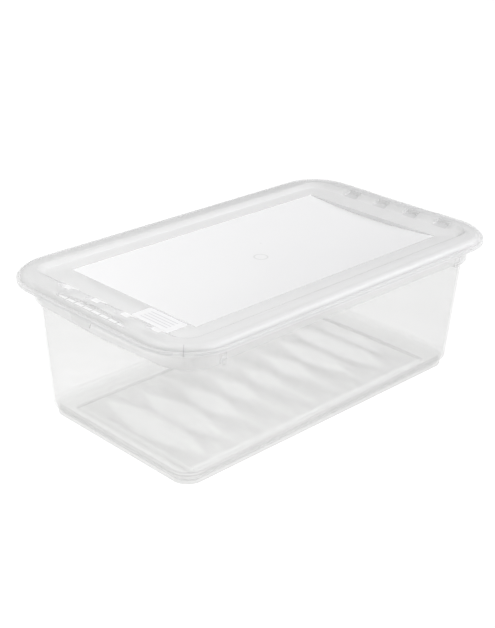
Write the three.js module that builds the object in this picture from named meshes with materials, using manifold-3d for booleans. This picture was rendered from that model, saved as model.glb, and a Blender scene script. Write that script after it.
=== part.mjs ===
// Stackable storage bin: a clear moulded tub, a milky press-on lid and a paper label on the lid.
// Millimetres, +Z up. Origin: centre of the footprint, on the surface that the bin stands on.
import * as THREE from 'three';
import { mergeVertices } from 'three/addons/utils/BufferGeometryUtils.js';
import Module from 'manifold-3d';

const wasm = await Module();
wasm.setup();

// ---- driving dimensions -------------------------------------------------------------------
const CORNER_STEPS = 8;            // facets in each rounded plan corner
const TUB_SKIN = 1.3;              // wall thickness of the tub
const LID_SKIN = 1.3;              // wall thickness of the lid

// Tub, as half length, half width and corner radius of its outline
const FOOT = { x: 138.65, y: 73.15, r: 13 };
const WALL_BOTTOM = { x: 143.4, y: 78.2, r: 22 };
const WALL_TOP = { x: 148.6, y: 83.4, r: 24.5 };
const FOOT_HEIGHT = 8.0;           // underside of the step where the wall starts
const FOOT_EDGE = 0.9;             // rounding under the foot
const FOOT_LEAN = 0.5;             // how far the foot's wall leans out on its way up
const STEP_EDGE = 0.8;             // rounding where the foot's wall meets the step
const WALL_EDGE = 1.3;             // rounding where the step meets the wall
const COLLAR_OUT = 3.4;            // how far the collar stands out of the wall
const COLLAR_EDGE = 0.6;           // slope under the collar
const COLLAR_LEAN = 0.4;           // how far the collar leans out on its way up
const COLLAR_BOTTOM_LONG = 91.8;   // lower edge of the collar along the long sides
const COLLAR_BOTTOM_END = 90.0;    // lower edge round the corners and short ends
const COLLAR_DROOP = 1.7;          // extra depth at the middle of each short end
const CORNER_COLLAR_X = 118;       // where the deeper corner collar starts
const RIM_TOP = 109.8;             // top edge of the tub under the lid
const FLANGE = { x: 162.2, y: 95.4, r: 38.5 };
const FLANGE_BOTTOM = 104.9;
const FLANGE_TOP = 106.0;
const GUSSET = { width: 5, proud: 1.1, root: 0.6, bottom: 90.4, top: 105.2 };

// Wavy floor: ridges that run across the tub
const WAVE_X = 124;
const WAVE_Y = 60;
const WAVE_PITCH = 27.6;
const WAVE_MEAN = 3.6;
const WAVE_AMPLITUDE = 1.1;
const WAVE_STEPS = 8;              // facets in one wave
const FLOOR_SKIN = 1.5;
const FLOOR_EDGE = 1.3;            // rounding inside, where the foot's wall meets the floor

// Lid
const LID_TOP = 111.5;
const LEDGE = { x: 157.0, y: 90.4, r: 30.5 };          // outer edge of the flat ledge
const SHOULDER = 4.8;                                  // rounding outside the ledge
const SHOULDER_BOTTOM = 107.7;
const BAND = { x: 164.7, y: 97.9, r: 41 };
const BAND_BOTTOM = 105.0;
const BAND_EDGE = 0.4;                                 // rounding of the band's lower edge
const BAND_TOP = 107.1;                                // where the band's top edge starts to round
const BAND_ROOF = 106.3;                               // underside of the lid over the tub's flange
const WELL_TOP = { x: 147.0, y: 80.5, r: 15 };         // inner edge of the ledge
const WELL_BOTTOM = { x: 141.0, y: 76.5, r: 11 };
const WELL_LEVEL = 108.35;                             // flat border round the panel
const WELL_SLOPE_OFFSET = 0.35;                        // shift of the sloped wall's underside
const PANEL_X = 122;
const PANEL_Y = 63.8;
const PANEL_DEPTH = 3.5;                               // dish of the panel at its middle line
const PANEL_STEPS = 16;

// Notches in the ledge's inner wall, four at each end
const NOTCH_COUNT = 4;
const NOTCH_PITCH = 30.3;
const NOTCH_OFFSET = -7.6;
const NOTCH_WIDTH = 13;
const NOTCH_X = 149.6;
const NOTCH_SKIN = 0.9;

// Finger recess at each end of the ledge, with small grip ribs
const RECESS_LENGTH = 70;
const RECESS_WIDTH = 4.7;
const RECESS_X = 157.9;
const RECESS_DEPTH = 1.3;
const RECESS_OFFSET = -3.5;
const RECESS_SKIN = 1.1;
const RECESS_WALL = 0.6;
const GRIP_RIBS = 7;
const GRIP_PITCH = 8.6;
const GRIP_RIB = { width: 1.2, length: 2.6, root: 0.4, drop: 0.3 };

// Snap tab at each end
const TAB = { width: 21.6, taper: 1.6, thickness: 1.3, x: 163.9, bottom: 99.8, top: 106.4, round: 3.5 };

// Every cut starts this far outside the surface that it opens.
const CUT_MARGIN = 1;

// Label on the lid's border
const LABEL = { x: -132.3, y: -40.4, width: 16.9, length: 36.9, round: 2, thickness: 0.2, gap: 0.3 };

// ---- geometry helpers ---------------------------------------------------------------------
// Side points that every outline shares, so that outlines can be joined point to point.
const LONG_SIDE = [CORNER_COLLAR_X + 1, CORNER_COLLAR_X - 1, 0, 1 - CORNER_COLLAR_X, -1 - CORNER_COLLAR_X];
const SHORT_SIDE = [34, 17, 0, -17, -34];

const grow = (outline, by) => ({ x: outline.x + by, y: outline.y + by, r: outline.r + by });

// Anticlockwise rounded rectangle; level is a height or a function of x and y.
function loop({ x, y, r }, level) {
  const points = [];
  const put = (px, py) => {
    const z = typeof level === 'function' ? level(px, py) : level;
    points.push(new THREE.Vector3(px, py, z));
  };
  const corner = (cx, cy, start) => {
    for (let i = 0; i <= CORNER_STEPS; i++) {
      const a = start + (Math.PI / 2) * (i / CORNER_STEPS);
      put(cx + r * Math.cos(a), cy + r * Math.sin(a));
    }
  };
  corner(x - r, y - r, 0);
  LONG_SIDE.forEach((px) => put(px, y));
  corner(r - x, y - r, Math.PI / 2);
  SHORT_SIDE.forEach((py) => put(-x, py));
  corner(r - x, r - y, Math.PI);
  LONG_SIDE.forEach((px) => put(-px, -y));
  corner(x - r, r - y, 1.5 * Math.PI);
  SHORT_SIDE.forEach((py) => put(x, -py));
  return points;
}

// Closed skin through loops, from a downward cap on the first to an upward cap on the last.
function skin(loops) {
  const size = loops[0].length;
  const position = [];
  const index = [];
  loops.flat().forEach((p) => position.push(p.x, p.y, p.z));
  for (let k = 0; k + 1 < loops.length; k++) {
    for (let i = 0; i < size; i++) {
      const a = k * size + i;
      const b = k * size + ((i + 1) % size);
      index.push(a, b, b + size, a, b + size, a + size);
    }
  }
  const cap = (points, first, up) => {
    const centre = points.reduce((s, p) => s.add(p), new THREE.Vector3()).divideScalar(size);
    const c = position.length / 3;
    position.push(centre.x, centre.y, centre.z);
    for (let i = 0; i < size; i++) {
      const j = (i + 1) % size;
      index.push(...(up ? [c, first + i, first + j] : [c, first + j, first + i]));
    }
  };
  cap(loops[0], 0, false);
  cap(loops[loops.length - 1], (loops.length - 1) * size, true);
  const geometry = new THREE.BufferGeometry();
  geometry.setAttribute('position', new THREE.Float32BufferAttribute(position, 3));
  geometry.setIndex(index);
  return solid(geometry);
}

function solid(geometry) {
  const bare = geometry.clone();
  bare.deleteAttribute('normal');
  bare.deleteAttribute('uv');
  const merged = mergeVertices(bare, 1e-4);
  return new wasm.Manifold(new wasm.Mesh({
    numProp: 3,
    vertProperties: new Float32Array(merged.attributes.position.array),
    triVerts: new Uint32Array(merged.index.array),
  }));
}

function box(low, high) {
  const size = high.map((v, i) => v - low[i]);
  const geometry = new THREE.BoxGeometry(...size);
  geometry.translate(...low.map((v, i) => v + size[i] / 2));
  return solid(geometry);
}

// Outline in x and y, extruded from one height to another.
function plate(shape, bottom, top, curveSegments = 6) {
  const geometry = new THREE.ExtrudeGeometry(shape, { depth: top - bottom, bevelEnabled: false, curveSegments });
  geometry.translate(0, 0, bottom);
  return solid(geometry);
}

// Outline given as [across, height] pairs, extruded along y (across = x) or along x (across = y).
function bar(outline, half, along) {
  const shape = new THREE.Shape(outline.map(([u, v]) => new THREE.Vector2(u, v)));
  const geometry = new THREE.ExtrudeGeometry(shape, { depth: 2 * half, bevelEnabled: false });
  geometry.translate(0, 0, -half);
  geometry.rotateX(Math.PI / 2);
  if (along === 'x') geometry.rotateZ(Math.PI / 2);
  return solid(geometry);
}

// ---- tub ----------------------------------------------------------------------------------
function collarBottom(x, y) {
  if (Math.abs(x) < CORNER_COLLAR_X) return COLLAR_BOTTOM_LONG;
  const droop = Math.max(0, 1 - Math.abs(y) / SHORT_SIDE[0]);
  return COLLAR_BOTTOM_END - COLLAR_DROOP * droop;
}

function tubShell() {
  const collar = grow(WALL_TOP, COLLAR_OUT);
  const collarTop = grow(collar, COLLAR_LEAN);
  const above = (rise) => (x, y) => collarBottom(x, y) + rise;
  const inside = (outline) => grow(outline, -TUB_SKIN);
  const footTop = grow(FOOT, FOOT_LEAN);
  return skin([
    loop(grow(FOOT, -FOOT_EDGE), 0),
    loop(FOOT, FOOT_EDGE),
    loop(footTop, FOOT_HEIGHT - STEP_EDGE),
    loop(grow(footTop, STEP_EDGE), FOOT_HEIGHT),
    loop(grow(WALL_BOTTOM, -WALL_EDGE), FOOT_HEIGHT),
    loop(WALL_BOTTOM, FOOT_HEIGHT + WALL_EDGE),
    loop(WALL_TOP, collarBottom),
    loop(collar, above(COLLAR_EDGE)),
    loop(collarTop, FLANGE_BOTTOM),
    loop(FLANGE, FLANGE_BOTTOM),
    loop(FLANGE, FLANGE_TOP),
    loop(collarTop, FLANGE_TOP),
    loop(collarTop, RIM_TOP),
    loop(inside(collarTop), RIM_TOP),
    loop(inside(collar), above(COLLAR_EDGE + TUB_SKIN)),
    loop(inside(WALL_TOP), above(TUB_SKIN)),
    loop(inside(WALL_BOTTOM), FOOT_HEIGHT + TUB_SKIN + STEP_EDGE),
    loop(grow(inside(WALL_BOTTOM), -STEP_EDGE), FOOT_HEIGHT + TUB_SKIN),
    loop(inside(footTop), FOOT_HEIGHT + TUB_SKIN),
    loop(grow(inside(footTop), -STEP_EDGE), FOOT_HEIGHT + TUB_SKIN - STEP_EDGE),
    loop(grow(inside(FOOT), -FLOOR_EDGE / 3), FLOOR_SKIN + FLOOR_EDGE / 2),
    loop(grow(inside(FOOT), -FLOOR_EDGE), FLOOR_SKIN),
  ]);
}

const waveHeight = (x) => WAVE_MEAN - WAVE_AMPLITUDE * Math.cos((2 * Math.PI * x) / WAVE_PITCH);

function waveBar(halfX, halfY, bottom, drop) {
  const steps = Math.round((2 * halfX) / WAVE_PITCH * WAVE_STEPS);
  const outline = [[-halfX, bottom], [halfX, bottom]];
  for (let i = steps; i >= 0; i--) {
    const x = -halfX + (2 * halfX * i) / steps;
    outline.push([x, waveHeight(x) - drop]);
  }
  return bar(outline, halfY, 'y');
}

// A short upright rib where the deeper corner collar ends
function gusset(sideX, sideY) {
  const face = WALL_TOP.y + COLLAR_OUT;
  const x = sideX * (CORNER_COLLAR_X + GUSSET.width / 2);
  const half = GUSSET.width / 2;
  const ys = [sideY * (face - GUSSET.root), sideY * (face + GUSSET.proud)].sort((a, b) => a - b);
  return box([x - half, ys[0], GUSSET.bottom], [x + half, ys[1], GUSSET.top]);
}

function tub() {
  let body = tubShell()
    .add(waveBar(WAVE_X, WAVE_Y, FLOOR_SKIN / 2, 0))
    .subtract(waveBar(WAVE_X - TUB_SKIN, WAVE_Y - TUB_SKIN, -CUT_MARGIN, FLOOR_SKIN));
  for (const sx of [-1, 1]) {
    for (const sy of [-1, 1]) body = body.add(gusset(sx, sy));
  }
  return body;
}

// ---- lid ----------------------------------------------------------------------------------
// Loop of the rounded shoulder, at an angle from the vertical
function shoulderAt(degrees, radius) {
  const a = THREE.MathUtils.degToRad(degrees);
  return loop(grow(LEDGE, radius * Math.sin(a)), LID_TOP - SHOULDER + radius * Math.cos(a));
}

// Loops of the lid's outer surface, from the lower edge of the band in to the well
function lidOutside() {
  return [
    loop(grow(BAND, -BAND_EDGE), BAND_BOTTOM),
    loop(BAND, BAND_BOTTOM + BAND_EDGE),
    loop(BAND, BAND_TOP),
    loop(grow(BAND, BAND_TOP - SHOULDER_BOTTOM), SHOULDER_BOTTOM),
    loop(grow(LEDGE, SHOULDER), SHOULDER_BOTTOM),
    ...[75, 45, 20, 0].map((degrees) => shoulderAt(degrees, SHOULDER)),
    loop(WELL_TOP, LID_TOP),
    loop(WELL_BOTTOM, WELL_LEVEL),
  ];
}

// Loops of the hollow under the ledge, from the underside of the border out to the band
function lidInside() {
  const radius = SHOULDER - LID_SKIN;
  return [
    loop(grow(WELL_BOTTOM, WELL_SLOPE_OFFSET), WELL_LEVEL - LID_SKIN),
    loop(grow(WELL_TOP, WELL_SLOPE_OFFSET), LID_TOP - LID_SKIN),
    ...[0, 45].map((degrees) => shoulderAt(degrees, radius)),
    loop(grow(LEDGE, radius), BAND_ROOF),
    loop(grow(BAND, -LID_SKIN), BAND_ROOF),
    loop(grow(BAND, -LID_SKIN), BAND_BOTTOM),
  ];
}

// The dished panel is a shallow trough: an arc across the lid, straight along it.
function trough(halfX, halfY, top, drop) {
  const radius = (PANEL_Y ** 2 + PANEL_DEPTH ** 2) / (2 * PANEL_DEPTH);
  const outline = [];
  for (let i = 0; i <= PANEL_STEPS; i++) {
    const y = halfY * (-1 + (2 * i) / PANEL_STEPS);
    const arc = WELL_LEVEL - PANEL_DEPTH + radius - Math.sqrt(radius ** 2 - y ** 2);
    outline.push([y, arc - drop]);
  }
  outline.push([halfY, top], [-halfY, top]);
  return bar(outline, halfX, 'x');
}

function notchBox(end, y, side, bottom, top, outer) {
  const half = NOTCH_WIDTH / 2 + side;
  const inner = WELL_BOTTOM.x - CUT_MARGIN / 2;
  const xs = [end * inner, end * outer].sort((a, b) => a - b);
  return box([xs[0], y - half, bottom], [xs[1], y + half, top]);
}

// Lens-shaped finger recess, grown all round by a skin for the solid behind it
function recessPlate(end, by, bottom, top) {
  const half = RECESS_LENGTH / 2;
  const radius = (half ** 2 + RECESS_WIDTH ** 2) / (2 * RECESS_WIDTH);
  const centre = RECESS_X - RECESS_WIDTH + radius;
  const outer = LEDGE.x + SHOULDER;
  const spread = half + by;
  const points = [new THREE.Vector2(end * outer, RECESS_OFFSET - spread)];
  for (let i = 0; i <= PANEL_STEPS; i++) {
    const y = spread * (-1 + (2 * i) / PANEL_STEPS);
    const x = centre - Math.sqrt((radius + by) ** 2 - y ** 2);
    points.push(new THREE.Vector2(end * x, RECESS_OFFSET + y));
  }
  points.push(new THREE.Vector2(end * outer, RECESS_OFFSET + spread));
  return plate(new THREE.Shape(points), bottom, top);
}

function gripRib(end, y) {
  const inner = RECESS_X - RECESS_WIDTH - GRIP_RIB.root;
  const xs = [end * inner, end * (inner + GRIP_RIB.length)].sort((a, b) => a - b);
  const half = GRIP_RIB.width / 2;
  const low = LID_TOP - RECESS_DEPTH - GRIP_RIB.root;
  return box([xs[0], y - half, low], [xs[1], y + half, LID_TOP - GRIP_RIB.drop]);
}

function snapTab(end) {
  const half = TAB.width / 2;
  const foot = half - TAB.taper;
  const shape = new THREE.Shape();
  shape.moveTo(-half, TAB.top);
  shape.lineTo(-foot, TAB.bottom + TAB.round);
  shape.quadraticCurveTo(-foot, TAB.bottom, TAB.round - foot, TAB.bottom);
  shape.lineTo(foot - TAB.round, TAB.bottom);
  shape.quadraticCurveTo(foot, TAB.bottom, foot, TAB.bottom + TAB.round);
  shape.lineTo(half, TAB.top);
  const geometry = new THREE.ExtrudeGeometry(shape, { depth: TAB.thickness, bevelEnabled: false, curveSegments: 4 });
  geometry.rotateX(Math.PI / 2);
  geometry.rotateZ(Math.PI / 2);
  geometry.translate(end > 0 ? TAB.x - TAB.thickness : -TAB.x, 0, 0);
  return solid(geometry);
}

function lid() {
  const outside = lidOutside();
  const envelope = skin(outside);
  let body = skin([...lidInside(), ...outside]);
  body = body.add(trough(PANEL_X + LID_SKIN, PANEL_Y + LID_SKIN, WELL_LEVEL - LID_SKIN / 3, LID_SKIN));
  const cuts = [trough(PANEL_X, PANEL_Y, WELL_LEVEL + CUT_MARGIN, 0)];
  const ribs = [];
  for (const end of [-1, 1]) {
    for (let i = 0; i < NOTCH_COUNT; i++) {
      const y = NOTCH_OFFSET + NOTCH_PITCH * (i - (NOTCH_COUNT - 1) / 2);
      const pocket = notchBox(end, y, NOTCH_SKIN, WELL_LEVEL - LID_SKIN, LID_TOP, NOTCH_X + NOTCH_SKIN);
      body = body.add(pocket.intersect(envelope));
      cuts.push(notchBox(end, y, 0, WELL_LEVEL, LID_TOP + CUT_MARGIN, NOTCH_X));
    }
    const floor = LID_TOP - RECESS_DEPTH;
    body = body.add(recessPlate(end, RECESS_WALL, floor - RECESS_SKIN, LID_TOP).intersect(envelope));
    cuts.push(recessPlate(end, 0, floor, LID_TOP + CUT_MARGIN));
    for (let i = 0; i < GRIP_RIBS; i++) {
      ribs.push(gripRib(end, RECESS_OFFSET + GRIP_PITCH * (i - (GRIP_RIBS - 1) / 2)));
    }
    body = body.add(snapTab(end));
  }
  for (const cut of cuts) body = body.subtract(cut);
  for (const rib of ribs) body = body.add(rib);
  return body;
}

// ---- label --------------------------------------------------------------------------------
function label() {
  const halfX = LABEL.width / 2;
  const halfY = LABEL.length / 2;
  const shape = new THREE.Shape();
  shape.moveTo(LABEL.round - halfX, -halfY);
  shape.lineTo(halfX - LABEL.round, -halfY);
  shape.quadraticCurveTo(halfX, -halfY, halfX, LABEL.round - halfY);
  shape.lineTo(halfX, halfY - LABEL.round);
  shape.quadraticCurveTo(halfX, halfY, halfX - LABEL.round, halfY);
  shape.lineTo(LABEL.round - halfX, halfY);
  shape.quadraticCurveTo(-halfX, halfY, -halfX, halfY - LABEL.round);
  shape.lineTo(-halfX, LABEL.round - halfY);
  shape.quadraticCurveTo(-halfX, -halfY, LABEL.round - halfX, -halfY);
  const bottom = WELL_LEVEL + LABEL.gap;
  return plate(shape, bottom, bottom + LABEL.thickness, 4).translate([LABEL.x, LABEL.y, 0]);
}

// ---- scene graph --------------------------------------------------------------------------
function mesh(name, body, material) {
  const { vertProperties, triVerts } = body.getMesh();
  const geometry = new THREE.BufferGeometry();
  geometry.setAttribute('position', new THREE.Float32BufferAttribute(vertProperties, 3));
  geometry.setIndex(new THREE.Uint32BufferAttribute(triVerts, 1));
  geometry.computeVertexNormals();
  const item = new THREE.Mesh(geometry, material);
  item.name = name;
  return item;
}

const clearPlastic = new THREE.MeshStandardMaterial({
  color: 0xf1f2f2, roughness: 0.12, metalness: 0, transparent: true, opacity: 0.3,
});
const milkyPlastic = new THREE.MeshStandardMaterial({
  color: 0xeeeff0, roughness: 0.3, metalness: 0, transparent: true, opacity: 0.55,
});
const paper = new THREE.MeshStandardMaterial({ color: 0xfafafa, roughness: 0.8, metalness: 0 });

const bin = new THREE.Group();
bin.add(mesh('bin', tub(), clearPlastic));
bin.add(mesh('lid', lid(), milkyPlastic));
bin.add(mesh('label', label(), paper));

export default bin;
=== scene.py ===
"""Stackable storage bin: looks for the tub, lid and label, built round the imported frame.

Shapes are worked out in millimetres, as in the part's source, and become metres when a mesh is made.
"""

import math
from collections import namedtuple

import bmesh
import bpy
import numpy as np
from mathutils import Matrix, Vector


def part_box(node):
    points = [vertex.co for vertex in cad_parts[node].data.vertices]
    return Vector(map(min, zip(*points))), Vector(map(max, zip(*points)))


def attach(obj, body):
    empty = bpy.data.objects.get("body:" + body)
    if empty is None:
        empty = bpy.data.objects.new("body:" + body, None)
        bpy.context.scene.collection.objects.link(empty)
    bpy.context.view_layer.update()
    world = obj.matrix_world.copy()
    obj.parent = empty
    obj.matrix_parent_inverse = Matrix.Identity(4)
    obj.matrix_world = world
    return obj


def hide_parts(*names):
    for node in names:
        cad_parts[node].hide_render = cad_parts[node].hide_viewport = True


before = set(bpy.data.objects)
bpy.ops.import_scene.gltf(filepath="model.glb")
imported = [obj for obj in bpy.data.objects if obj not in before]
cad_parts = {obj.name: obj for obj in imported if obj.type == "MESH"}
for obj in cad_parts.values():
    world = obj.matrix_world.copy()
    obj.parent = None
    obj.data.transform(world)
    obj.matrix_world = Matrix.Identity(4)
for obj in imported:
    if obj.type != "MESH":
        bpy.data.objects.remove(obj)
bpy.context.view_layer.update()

MM = 0.001
BIN_BOX = [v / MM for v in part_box("bin")[1]]
LID_BOX = [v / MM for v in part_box("lid")[1]]
LABEL_LOW, LABEL_HIGH = ([v / MM for v in corner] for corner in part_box("label"))

# ---- driving dimensions, in millimetres ------------------------------------------------------
# An outline is a rounded rectangle: half length, half width, corner radius.
Outline = namedtuple("Outline", "x y r")

TUB_SKIN = 1.3
LID_SKIN = 1.3
FOOT = Outline(138.65, 73.15, 13)
WALL_BOTTOM = Outline(143.4, 78.2, 22)
WALL_TOP = Outline(148.6, 83.4, 24.5)
FOOT_HEIGHT = 8.0
FOOT_LEAN = 0.5
FOOT_LIP = 0.5              # how far the foot's top edge stands out
FOOT_LIP_HEIGHT = 0.4
COLLAR_OUT = 3.4
COLLAR_LEAN = 0.4
COLLAR_SLOPE = 0.5          # rise of the collar's lower face on its way out of the wall
COLLAR_BOTTOM = 90.0        # lower edge round the corners and short ends
COLLAR_RISE = 1.8           # how much higher it is along the long sides
COLLAR_DROOP = 1.7          # how much lower at the middle of each short end
DROOP_REACH = 62            # half width of that droop
CORNER_COLLAR_X = 118       # where the long sides' higher edge ends
COLLAR_RUN = 1.5            # length over which the edge changes height there
RIM_TOP = BIN_BOX[2]
FLANGE = Outline(BIN_BOX[0], BIN_BOX[1], 38.5)
FLANGE_BOTTOM = 104.9
FLANGE_TOP = 106.0
GUSSET_WIDTH = 5
GUSSET_PROUD = 1.1
GUSSET_RAISE = 0.3          # how far the gusset's middle is above the collar's
GUSSET_ROUND = 1.2

WAVE = Outline(124, 60, 0)  # wavy part of the floor
WAVE_PITCH = 27.6
WAVE_MEAN = 3.6
WAVE_AMPLITUDE = 1.1
WAVE_TAPER = 34             # length over which each ridge dies out towards its end
FLOOR_SKIN = 1.5
FLOOR_STEP = 1.6            # width of the step up from the foot to the wavy floor
FLOOR_LIP = 0.3             # drop of that step's rounded top edge

LID_TOP = LID_BOX[2]
LEDGE = Outline(157.0, 90.4, 30.5)
SHOULDER = 4.8
SHOULDER_BOTTOM = 107.7
SHOULDER_LIP = 0.15         # small ledge under the shoulder
BAND = Outline(LID_BOX[0], LID_BOX[1], 41)
BAND_BOTTOM = 105.0
BAND_ROOF = 106.3
WELL_TOP = Outline(147.0, 80.5, 15)
WELL_BOTTOM = Outline(141.0, 76.5, 11)
WELL_LEVEL = 108.35
WELL_SLOPE_OFFSET = 0.35
PANEL = Outline(122, 63.8, 0)
PANEL_DEPTH = 3.5
PANEL_STEP = 0.3            # small step round the panel's edge
PANEL_ROUND = 0.6

NOTCH_COUNT = 4
NOTCH_PITCH = 30.3
NOTCH_OFFSET = -7.6
NOTCH_WIDTH = 13
NOTCH_X = 149.6
NOTCH_SKIN = 0.9
NOTCH_ROUND = 0.8

RECESS_LENGTH = 70
RECESS_WIDTH = 4.7
RECESS_X = 157.9
RECESS_DEPTH = 1.3
RECESS_OFFSET = -3.5
RECESS_SKIN = 1.1
RECESS_WALL = 0.6
RECESS_STEPS = 41
BACKING_DROP = 0.05         # how far the pockets behind the cuts stay below the lid's top
GRIP_RIBS = 7
GRIP_PITCH = 8.6
GRIP_WIDTH = 1.2
GRIP_LENGTH = 2.6
GRIP_ROUND = 0.45           # corner radius of a rib, as a share of its width
GRIP_SINK = 0.3             # depth of a rib's foot in the recess floor, and of its top below the lid's
GRIP_OVERLAP = 0.4          # how far a rib starts inside the recess wall

TAB_WIDTH = 21.6
TAB_TAPER = 1.6
TAB_THICKNESS = 1.3
TAB_X = 163.9
TAB_BOTTOM = 99.8
TAB_TOP = 106.4
TAB_ROUND = 3.5
TAB_STEPS = 9
CUT_MARGIN = 1              # how far a cutting solid reaches past what it cuts

LABEL_ROUND = 2.0
LABEL_THICKNESS = 0.14
LABEL_EDGE = 0.05           # bevel of the label's edge
LABEL_GAP = 0.02            # from the lid to the label's underside
LABEL_STEPS = 8

# ---- mesh helpers ----------------------------------------------------------------------------
CORNER_STEPS = 20
GRID_X = 108                # columns along the long side
GRID_Y = 44                 # and along the short side
CURVE_STEPS = 5             # points on each rounded corner of a profile
SOFT_SHARE = 0.45           # most of a profile's segment that one rounding may take
MERGE_DISTANCE = 1e-7       # metres
DEGENERATE_EDGE = 1e-8
SHARP_DEGREES = 32


def side_fractions(steps, extra=()):
    """Places along a straight side, from -1 to 1."""
    return np.unique(np.round(np.concatenate([np.linspace(-1, 1, steps + 1), extra]), 5))


# More columns where the collar's edge changes height, so that the change is clean.
COLLAR_STEP = np.linspace(-0.6, 2.4, 7) + CORNER_COLLAR_X
STRAIGHT_X = WALL_TOP.x - WALL_TOP.r
ALONG_X = side_fractions(GRID_X, np.concatenate([COLLAR_STEP, -COLLAR_STEP]) / STRAIGHT_X)
ALONG_Y = side_fractions(GRID_Y)


def loop_pattern():
    """Every loop's points, anticlockwise: a place on the inner rectangle and a direction out of it."""
    places, directions = [], []

    def corner(sx, sy, start):
        for a in np.linspace(start, start + math.pi / 2, CORNER_STEPS + 1)[1:-1]:
            places.append((sx, sy))
            directions.append((math.cos(a), math.sin(a)))

    def side(fractions, fixed, along_x):
        for t in fractions:
            places.append((t, fixed) if along_x else (fixed, t))
            directions.append((0, fixed) if along_x else (fixed, 0))

    corner(1, 1, 0)
    side(ALONG_X[::-1], 1, True)
    corner(-1, 1, math.pi / 2)
    side(ALONG_Y[::-1], -1, False)
    corner(-1, -1, math.pi)
    side(ALONG_X, -1, True)
    corner(1, -1, 1.5 * math.pi)
    side(ALONG_Y, 1, False)
    return np.array(places, float), np.array(directions, float)


PLACES, DIRECTIONS = loop_pattern()
LOOP = len(PLACES)


def grow(outline, by):
    return Outline(outline.x + by, outline.y + by, outline.r + by)


def node(outline, z, collar=0.0, soft=0.0):
    """One corner of a shell's profile.

    collar is its share of the collar's rise and droop, soft its rounding.
    """
    return np.array([outline.x, outline.y, outline.r, z, collar]), soft


def rounded(nodes):
    """The profile with each soft corner turned into a curve."""
    rows = []
    for i, (here, soft) in enumerate(nodes):
        if soft <= 0 or i in (0, len(nodes) - 1):
            rows.append(here)
            continue
        ends = []
        for other in (nodes[i - 1][0], nodes[i + 1][0]):
            way = other - here
            length = max(np.linalg.norm(way[[0, 3]]), 1e-9)
            ends.append(here + way * min(soft / length, SOFT_SHARE))
        for t in np.linspace(0, 1, CURVE_STEPS):
            rows.append((1 - t) ** 2 * ends[0] + 2 * t * (1 - t) * here + t * t * ends[1])
    return rows


def smooth_step(x, low, high):
    t = np.clip((x - low) / (high - low), 0, 1)
    return t * t * (3 - 2 * t)


def collar_shift(x, y):
    """How far the collar's lower edge is above COLLAR_BOTTOM at a place in plan."""
    long_side = 1 - smooth_step(np.abs(x), CORNER_COLLAR_X, CORNER_COLLAR_X + COLLAR_RUN)
    droop = np.cos(np.clip(y / DROOP_REACH, -1, 1) * math.pi / 2) ** 2
    return COLLAR_RISE * long_side - COLLAR_DROOP * droop * (1 - long_side)


def loop_points(row):
    x, y, r, z, collar = row
    plan = PLACES * [x - r, y - r] + DIRECTIONS * r
    return np.column_stack([plan, z + collar * collar_shift(plan[:, 0], plan[:, 1])])


def grid_fill(vertices, faces, outline, first, height, upward):
    """Fills a rectangular loop that starts at vertex first with a grid of that height."""
    loop = vertices[first : first + LOOP]
    edge = {(round(v[0], 3), round(v[1], 3)): first + i for i, v in enumerate(loop)}
    xs, ys = ALONG_X * outline[0], ALONG_Y * outline[1]
    index = np.zeros((len(xs), len(ys)), int)
    for i, px in enumerate(xs):
        for j, py in enumerate(ys):
            key = (round(px, 3), round(py, 3))
            if key in edge:
                index[i, j] = edge[key]
            else:
                index[i, j] = len(vertices)
                vertices.append((px, py, height(px, py)))
    for i in range(len(xs) - 1):
        for j in range(len(ys) - 1):
            quad = (index[i, j], index[i + 1, j], index[i + 1, j + 1], index[i, j + 1])
            faces.append(quad if upward else quad[::-1])


def row_faces(count):
    faces = []
    for k in range(count - 1):
        for i in range(LOOP):
            j = (i + 1) % LOOP
            faces.append((k * LOOP + i, k * LOOP + j, (k + 1) * LOOP + j, (k + 1) * LOOP + i))
    return faces


def closed_shell(name, rows, first_height, last_height):
    """A closed mesh through the profile's rows.

    The first and last rows are rectangles, filled by grids with heights of their own.
    """
    loops = [loop_points(row) for row in rows]
    for loop, height in ((loops[0], first_height), (loops[-1], last_height)):
        loop[:, 2] = [height(px, py) for px, py, _ in loop]
    vertices = [tuple(v) for v in np.concatenate(loops)]
    faces = row_faces(len(rows))
    grid_fill(vertices, faces, rows[0], 0, first_height, upward=False)
    grid_fill(vertices, faces, rows[-1], (len(rows) - 1) * LOOP, last_height, upward=True)
    return make_object(name, vertices, faces)


def capped_body(name, rows):
    """A closed mesh through the rows with a flat cap at each end."""
    vertices = np.concatenate([loop_points(row) for row in rows])
    last = (len(rows) - 1) * LOOP
    caps = [tuple(range(LOOP))[::-1], tuple(range(last, last + LOOP))]
    return make_object(name, vertices, row_faces(len(rows)) + caps)


def make_object(name, vertices, faces):
    mesh = bpy.data.meshes.new(name)
    bm = bmesh.new()
    made = [bm.verts.new(Vector(v) * MM) for v in vertices]
    for face in faces:
        bm.faces.new([made[i] for i in face])
    bmesh.ops.remove_doubles(bm, verts=bm.verts, dist=MERGE_DISTANCE)
    bmesh.ops.dissolve_degenerate(bm, edges=bm.edges, dist=DEGENERATE_EDGE)
    bmesh.ops.recalc_face_normals(bm, faces=bm.faces)
    bm.to_mesh(mesh)
    bm.free()
    made_object = bpy.data.objects.new(name, mesh)
    bpy.context.scene.collection.objects.link(made_object)
    return made_object


def prism(outline, low, high, axes="xyz"):
    """Vertices and faces of an outline pushed from low to high.

    axes says which axis each of the outline's two directions and the push follow.
    """
    n = len(outline)
    order = ["xyz".index(a) for a in axes]
    vertices = []
    for level in (low, high):
        for u, v in outline:
            point = [0.0, 0.0, 0.0]
            for axis, value in zip(order, (u, v, level)):
                point[axis] = value
            vertices.append(point)
    faces = [tuple(range(n))[::-1], tuple(range(n, 2 * n))]
    faces += [(i, (i + 1) % n, n + (i + 1) % n, n + i) for i in range(n)]
    return vertices, faces


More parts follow.
